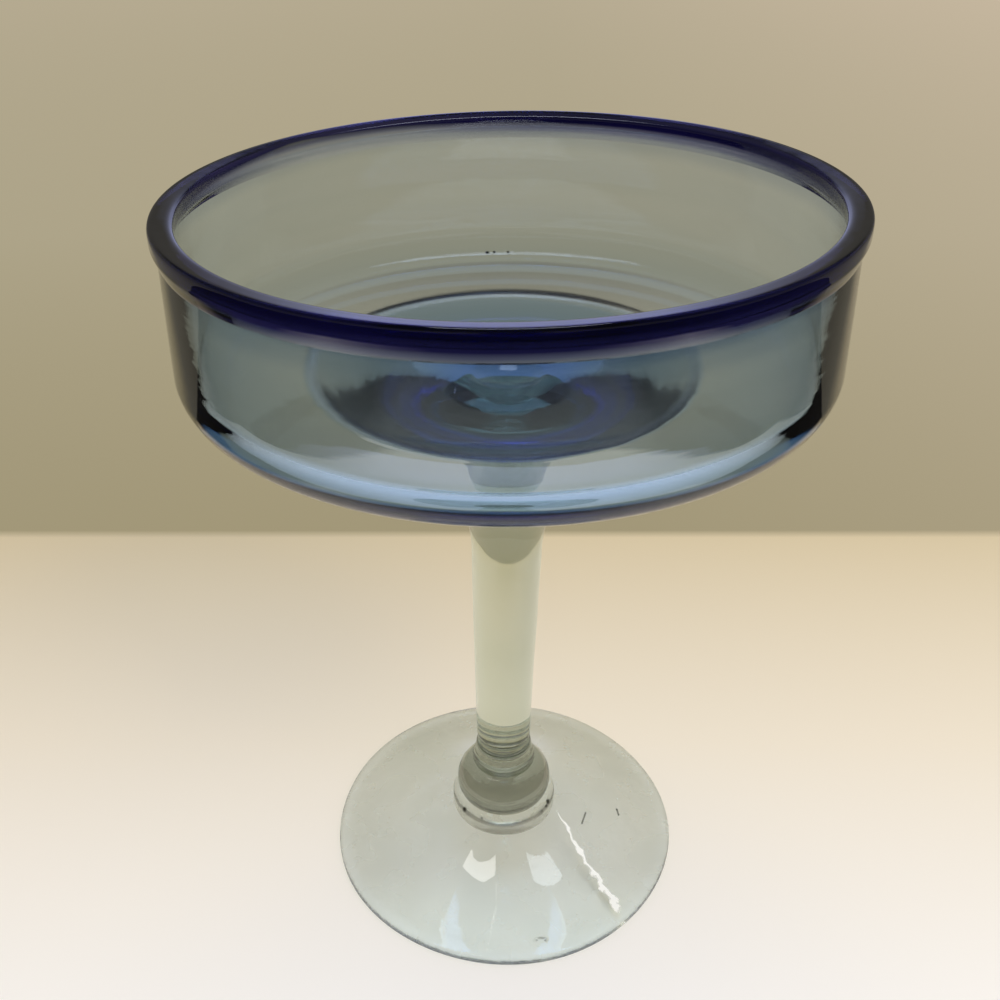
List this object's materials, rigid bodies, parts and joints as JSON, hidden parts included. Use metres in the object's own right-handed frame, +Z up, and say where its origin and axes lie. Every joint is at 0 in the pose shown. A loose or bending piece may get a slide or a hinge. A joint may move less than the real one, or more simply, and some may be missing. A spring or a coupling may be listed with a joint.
{
  "type": "margarita glass",
  "caption": "Hand-blown margarita glass: a wide, shallow pale-blue bowl with a cobalt lip bead, on a clear flared stem with a knop and a round foot, for serving iced cocktails.",
  "frame": {"origin": "middle of the circle that the foot rests on, in the plane of the table", "axes": "+Z up along the glass's own axis, from the foot to the lip; the glass is a turned form, so +X and +Y are alike"},
  "size_m": [0.134, 0.134, 0.172],
  "materials": {
    "pale_blue_glass": "fire-polished, clear pale blue",
    "cobalt_glass": "fire-polished, deep cobalt",
    "clear_glass": "fire-polished, clear with a faint green-grey cast"
  },
  "bodies": {
    "root": {"foot": "clear_glass", "foot_ring": "clear_glass", "knop": "clear_glass", "stem_collar": "clear_glass", "stem": "clear_glass", "bowl": "pale_blue_glass", "rim_wrap": "cobalt_glass"}
  },
  "joints": []
}
